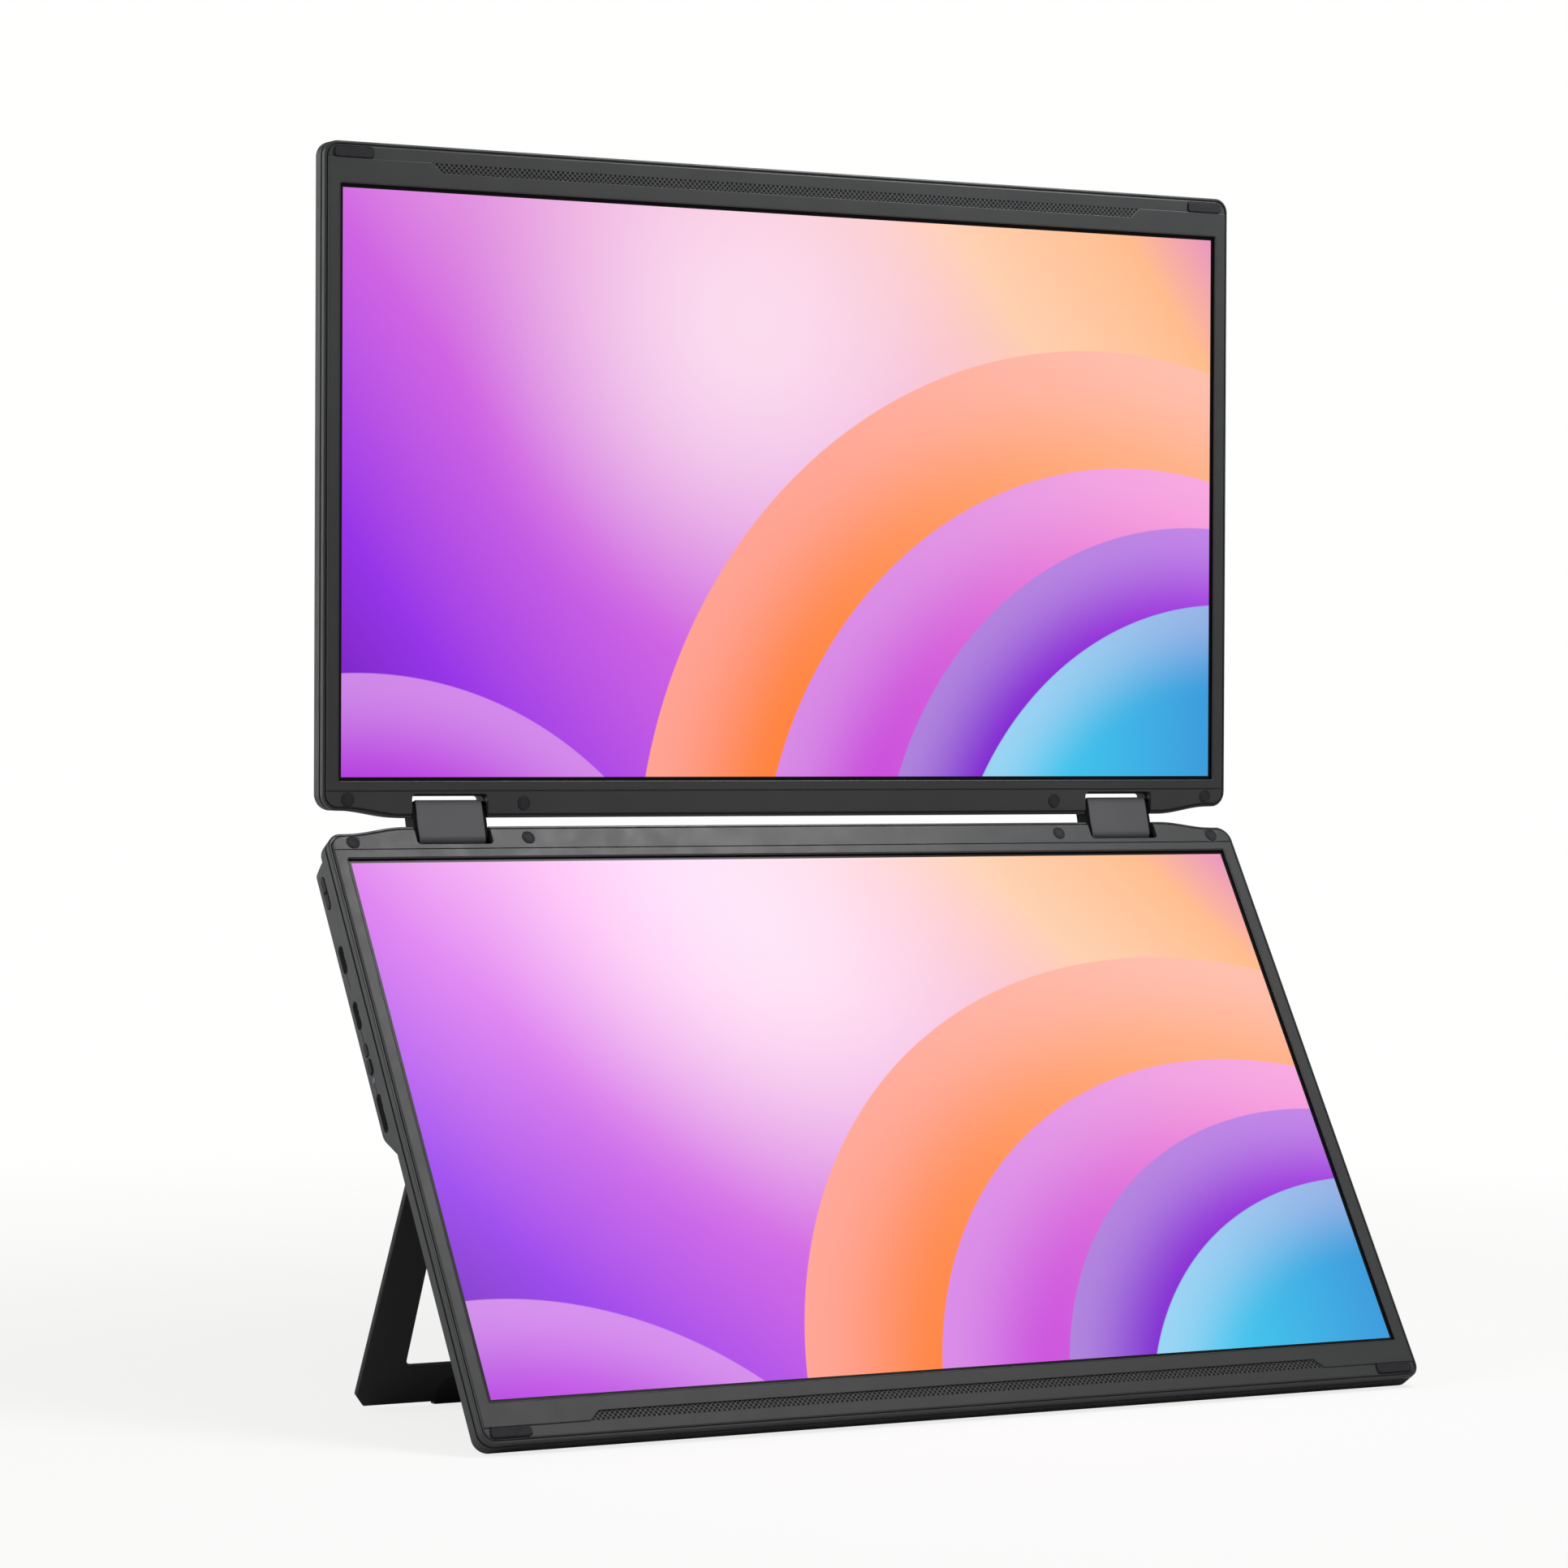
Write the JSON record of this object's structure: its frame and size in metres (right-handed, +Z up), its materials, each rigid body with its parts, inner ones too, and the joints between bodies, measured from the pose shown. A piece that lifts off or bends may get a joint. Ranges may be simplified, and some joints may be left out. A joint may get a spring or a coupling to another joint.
{
  "type": "dual portable display",
  "caption": "Two slim portable displays stacked one over the other on friction hinges, with a folding stand behind the lower one.",
  "frame": {"origin": "On the desk, at the centre of the bounding box in X and Y, with the displays open and the stand out.", "axes": "+Z up, +X to the viewer's right along the hinges, +Y away from the viewer; the screens face -Y."},
  "size_m": [0.3579, 0.1348, 0.4137],
  "materials": {
    "casing": "satin",
    "frame_plastic": "satin",
    "surround_plastic": "matte",
    "screen": "gloss",
    "backlight": "satin",
    "grille": "matte",
    "rubber": "matte",
    "screw_steel": "satin",
    "hinge_steel": "satin",
    "board": "satin",
    "hinge_cover": "satin",
    "hinge_back": "matte",
    "washer": "satin",
    "socket": "satin",
    "switch": "matte",
    "lens": "gloss",
    "speaker": "matte",
    "key": "matte",
    "stand": "satin"
  },
  "bodies": {
    "lower_display": {"lower_rear_cover": "casing", "lower_middle_frame": "frame_plastic", "lower_surround": "surround_plastic", "lower_glass": "screen", "lower_backlight": "backlight", "lower_grille_strip": "grille", "lower_corner_pads": "rubber", "lower_screw_plugs": "rubber", "lower_surround_screws": "screw_steel", "lower_driver_board": "board", "lower_hinge_bracket_left": "hinge_steel", "lower_hinge_bracket_right": "hinge_steel", "lower_bracket_screws": "screw_steel", "lower_axle_left": "hinge_steel", "lower_axle_right": "hinge_steel", "main_board": "board", "power_socket": "socket", "signal_socket": "socket", "video_socket": "socket", "side_switches": "switch", "status_lens": "lens", "speaker_left": "speaker", "speaker_right": "speaker", "stand_bracket_left": "hinge_steel", "stand_bracket_right": "hinge_steel", "stand_pin_left": "hinge_steel", "stand_pin_right": "hinge_steel", "stand_screws": "screw_steel"},
    "hinge_links": {"hinge_link_left": "hinge_steel", "hinge_link_right": "hinge_steel", "hinge_front_cover_left": "hinge_cover", "hinge_front_cover_right": "hinge_cover", "hinge_back_cover_left": "hinge_back", "hinge_back_cover_right": "hinge_back", "hinge_washers": "washer"},
    "upper_display": {"upper_rear_cover": "casing", "upper_middle_frame": "frame_plastic", "upper_surround": "surround_plastic", "upper_glass": "screen", "upper_backlight": "backlight", "upper_grille_strip": "grille", "upper_corner_pads": "rubber", "upper_screw_plugs": "rubber", "upper_surround_screws": "screw_steel", "upper_driver_board": "board", "upper_hinge_bracket_left": "hinge_steel", "upper_hinge_bracket_right": "hinge_steel", "upper_bracket_screws": "screw_steel", "upper_axle_left": "hinge_steel", "upper_axle_right": "hinge_steel"},
    "stand": {"stand_frame": "stand", "stand_foot_pads": "rubber"},
    "volume_rocker": {"volume_rocker": "key"},
    "power_key": {"power_key": "key"},
    "menu_lever": {"menu_lever": "key"}
  },
  "joints": [
    {"name": "lower_hinge", "type": "hinge", "parent": "lower_display", "child": "hinge_links", "pos_m": [0, 0.0562, 0.18487], "axis": [1, 0, 0], "range_deg": [-16.15, 73.85]},
    {"name": "upper_hinge", "type": "hinge", "parent": "hinge_links", "child": "upper_display", "pos_m": [0, 0.05915, 0.19443], "axis": [1, 0, 0], "range_deg": [-16.15, 73.85]},
    {"name": "stand_fold", "type": "hinge", "parent": "lower_display", "child": "stand", "pos_m": [0, 0.00198, 0.08793], "axis": [1, 0, 0], "range_deg": [-57.28, 0]},
    {"name": "volume_rocker_tilt", "type": "hinge", "parent": "lower_display", "child": "volume_rocker", "pos_m": [-0.1766, 0.052, 0.16754], "axis": [0, -0.8358, 0.549], "range_deg": [-2.2, 2.2], "stiffness_Nm_per_rad": 0.17},
    {"name": "power_key_press", "type": "slide", "parent": "lower_display", "child": "power_key", "axis": [1, 0, 0], "range_m": [0, 0.0005], "stiffness_N_per_m": 3500},
    {"name": "menu_lever_tilt", "type": "hinge", "parent": "lower_display", "child": "menu_lever", "pos_m": [-0.1766, 0.01653, 0.11355], "axis": [0, -0.8358, 0.549], "range_deg": [-4, 4], "stiffness_Nm_per_rad": 0.06}
  ]
}
